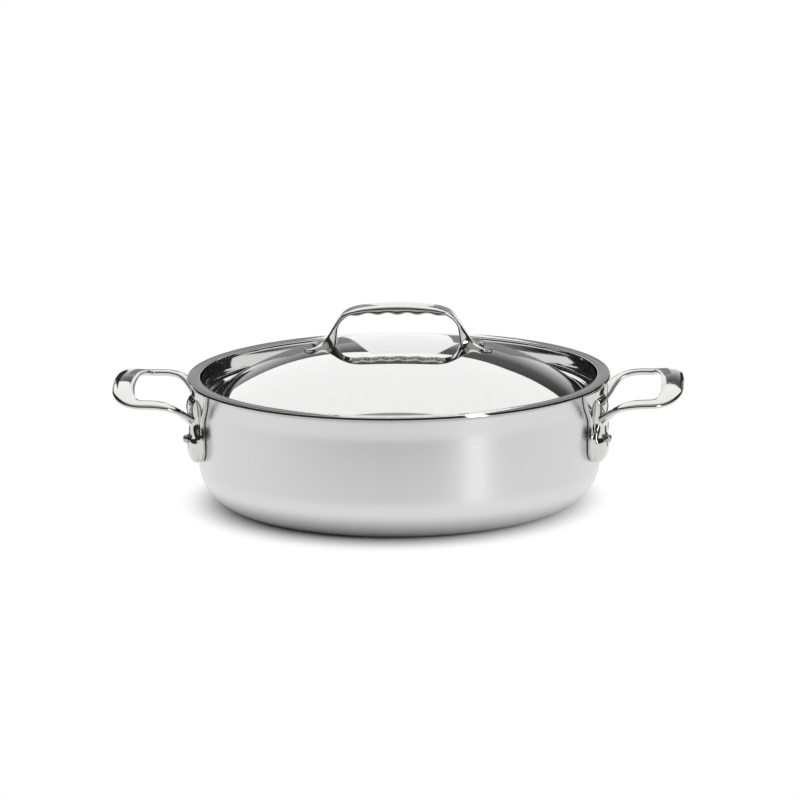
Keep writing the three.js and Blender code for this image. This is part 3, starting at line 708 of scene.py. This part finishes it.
def floorMaterial():
    # plain matt white that keeps the pan's shadow; outside an oval about the base the camera and reflections
    # see it as full white, and reflections see it dimmer towards the front, where no light stands
    material = bpy.data.materials.new("mattWhiteFloor")
    material.use_nodes = True
    tree = material.node_tree
    tree.nodes.clear()
    matt = addNode(tree, "ShaderNodeBsdfDiffuse", inputs={"Color": linear(studio["floorColour"])})
    path = addNode(tree, "ShaderNodeLightPath")
    seen = addNode(tree, "ShaderNodeMath", {"operation": "MAXIMUM"},
                   links={0: path.outputs["Is Camera Ray"], 1: path.outputs["Is Glossy Ray"]})
    place = addNode(tree, "ShaderNodeTexCoord")
    moved = addNode(tree, "ShaderNodeMapping",
                    inputs={"Location": studio["clearShift"], "Scale": studio["clearScale"]},
                    links={"Vector": place.outputs["Object"]})
    reach = addNode(tree, "ShaderNodeVectorMath", {"operation": "LENGTH"}, links={0: moved.outputs["Vector"]})
    clear = addNode(tree, "ShaderNodeMapRange", {"interpolation_type": "SMOOTHSTEP"},
                    {"From Min": studio["clearFrom"], "From Max": studio["clearTo"]},
                    {"Value": reach.outputs["Value"]})
    clear = addNode(tree, "ShaderNodeMath", {"operation": "MULTIPLY"},
                    links={0: clear.outputs["Result"], 1: seen.outputs["Value"]})
    split = addNode(tree, "ShaderNodeSeparateXYZ", links={"Vector": place.outputs["Object"]})
    dim = addNode(tree, "ShaderNodeMapRange",
                  inputs={"From Min": studio["dimFrom"], "From Max": studio["dimTo"], "To Min": 1.0,
                          "To Max": studio["dimLeast"]}, links={"Value": split.outputs["Y"]})
    level = addNode(tree, "ShaderNodeMath", {"operation": "MAXIMUM"},
                    links={0: dim.outputs["Result"], 1: path.outputs["Is Camera Ray"]})
    white = addNode(tree, "ShaderNodeEmission", links={"Strength": level.outputs["Value"]})
    shown = addNode(tree, "ShaderNodeMixShader", links={0: clear.outputs["Value"], 1: matt.outputs["BSDF"],
                                                        2: white.outputs["Emission"]})
    addNode(tree, "ShaderNodeOutputMaterial", links={"Surface": shown.outputs["Shader"]})
    return material


def makeFloor():
    sides = studio["floorSides"]
    turn = np.linspace(0, 2 * math.pi, sides, endpoint=False)
    ring = np.stack([np.cos(turn), np.sin(turn), np.zeros(sides)], axis=1) * studio["floorRadius"]
    mesh = bpy.data.meshes.new("floor")
    mesh.from_pydata(ring.tolist(), [], [tuple(range(sides))])
    mesh.materials.append(floorMaterial())
    floor = bpy.data.objects.new("floor", mesh)
    bpy.context.scene.collection.objects.link(floor)


def makeLights():
    # the strip stands upright and square to the line from the pan to its centre
    stageCard("softbox", [(x, y, studio["softHeight"]) for x, y in studio["softCorners"]],
              studio["softStrength"])
    centre = np.array(studio["stripCentre"])
    width, height = studio["stripSize"]
    aside = np.array((-centre[1], centre[0], 0)) / math.hypot(centre[0], centre[1]) * width / 2
    rise = np.array((0, 0, height / 2))
    corners = [tuple(centre + a * aside + b * rise) for a, b in ((-1, -1), (1, -1), (1, 1), (-1, 1))]
    stageCard("stripLight", corners, studio["stripStrength"], studio["stripLater"])
    panel = stageCard("backPanel", [(x, studio["panelBack"], z) for x, z in studio["panelCorners"]],
                      studio["panelStrength"])
    panel.visible_diffuse = False


def makeScreens():
    # each grey screen lies on the floor in front of the lit panel and turns up just before it; screens and
    # flags show in reflections only
    low = studio["cardLift"]
    start, back, height = studio["screenFrom"], studio["screenBack"], studio["screenHeight"]
    (nearX, nearY), (farX, farY), tall = studio["flagNear"], studio["flagFar"], studio["flagHeight"]
    flag = ((nearX, nearY, low), (farX, farY, low), (farX, farY, tall), (nearX, nearY, tall))
    for name, side in {"Right": 1, "Left": -1}.items():
        (near, inner, top), outer = studio["screenInner"][side], studio["screenOuter"][side]
        level = ((near, start, low), (outer, start, low), (outer, back, low), (inner, back, low))
        upright = ((inner, back, low), (outer, back, low), (outer, back, height), (top, back, height))
        for cardName, corners, strength in (("screen" + name + "Level", level, studio["screenStrength"]),
                                            ("screen" + name + "Upright", upright, studio["screenStrength"]),
                                            ("flag" + name, flag, studio["flagStrength"])):
            card = stageCard(cardName, [(side * x, y, z) for x, y, z in corners], strength)
            card.visible_diffuse = False
            card.visible_shadow = False


# Room: behind the pan the sine of the elevation sets the grey, pale near the horizon and dark above; the
# sides and the front are dark and grow paler only overhead. Stops are a share of the sine's range and a
# grey. The back gives way to the sides as a direction's y falls through backRange.

room = {"sineRange": (-0.2, 0.6), "stops": [(0.22, 0.88), (0.64, 0.12)], "backRange": (0.95, 0.8),
        "aboveRange": (0.6, 0.92), "aboveGreys": (0.03, 0.4)}


def makeWorld():
    world = bpy.data.worlds.new("studioRoom")
    bpy.context.scene.world = world
    world.use_nodes = True
    tree = world.node_tree
    tree.nodes.clear()
    place = addNode(tree, "ShaderNodeTexCoord")
    split = addNode(tree, "ShaderNodeSeparateXYZ", links={"Vector": place.outputs["Generated"]})
    height = addNode(tree, "ShaderNodeMapRange",
                     inputs={"From Min": room["sineRange"][0], "From Max": room["sineRange"][1]},
                     links={"Value": split.outputs["Z"]})
    back = addNode(tree, "ShaderNodeValToRGB", links={"Fac": height.outputs["Result"]})
    for stop, (position, grey) in zip(back.color_ramp.elements, room["stops"]):
        stop.position, stop.color = position, (grey, grey, grey, 1)
    front = addNode(tree, "ShaderNodeMapRange", {"interpolation_type": "SMOOTHSTEP"},
                    {"From Min": room["backRange"][0], "From Max": room["backRange"][1]},
                    {"Value": split.outputs["Y"]})
    above = addNode(tree, "ShaderNodeMapRange", {"interpolation_type": "SMOOTHSTEP"},
                    {"From Min": room["aboveRange"][0], "From Max": room["aboveRange"][1],
                     "To Min": room["aboveGreys"][0], "To Max": room["aboveGreys"][1]},
                    {"Value": split.outputs["Z"]})
    walls = addNode(tree, "ShaderNodeMix", {"data_type": "RGBA"},
                    links={"Factor": front.outputs["Result"], "A": back.outputs["Color"],
                           "B": above.outputs["Result"]})
    path = addNode(tree, "ShaderNodeLightPath")
    shown = addNode(tree, "ShaderNodeMix", {"data_type": "RGBA"}, {"B": (1, 1, 1, 1)},
                    {"Factor": path.outputs["Is Camera Ray"], "A": walls.outputs["Result"]})
    light = addNode(tree, "ShaderNodeBackground", links={"Color": shown.outputs["Result"]})
    addNode(tree, "ShaderNodeOutputWorld", links={"Surface": light.outputs["Background"]})


makeFloor()
makeLights()
makeScreens()
makeWorld()
print("studio made")


# Camera: the photograph's viewing angle, found from the outlines of rim, wall and base. Angles are in
# degrees, the focal length and the image's width in pixels.

view = {"distance": 3.0, "aimHeight": 0.09, "elevation": 11.77055, "azimuth": 2.6, "pan": 0.01422,
        "tilt": -0.36383, "roll": -0.62849, "focal": 4260.45, "imageWidth": 800, "sensor": 36.0,
        "clipEnd": 100}


def makeCamera():
    # stands on a sphere about the aim, then pans, tilts and rolls a little off it
    elevation, azimuth, turn, tilt, roll = (math.radians(view[k])
                                            for k in ("elevation", "azimuth", "pan", "tilt", "roll"))
    toCamera = np.array((math.cos(elevation) * math.sin(azimuth), -math.cos(elevation) * math.cos(azimuth),
                         math.sin(elevation)))
    right = np.array((math.cos(azimuth), math.sin(azimuth), 0))
    up = np.cross(right, -toCamera)
    ahead = math.cos(tilt) * (-math.cos(turn) * toCamera + math.sin(turn) * right) + math.sin(tilt) * up
    ahead /= np.linalg.norm(ahead)
    level = np.cross(ahead, (0, 0, 1.0))
    level /= np.linalg.norm(level)
    upright = np.cross(level, ahead)
    sideways = math.cos(roll) * level + math.sin(roll) * upright
    upwards = -math.sin(roll) * level + math.cos(roll) * upright
    data = bpy.data.cameras.new("camera")
    data.sensor_width = view["sensor"]
    data.lens = view["sensor"] * view["focal"] / view["imageWidth"]
    data.clip_end = view["clipEnd"]
    camera = bpy.data.objects.new("camera", data)
    bpy.context.scene.collection.objects.link(camera)
    place = np.array((0, 0, view["aimHeight"])) + view["distance"] * toCamera
    matrix = np.eye(4)
    matrix[:3, :] = np.stack([sideways, upwards, -ahead, place], axis=1)
    camera.matrix_world = Matrix(matrix.tolist())
    bpy.context.scene.camera = camera


makeCamera()
bpy.context.scene.view_settings.view_transform = "Standard"
print("camera made")
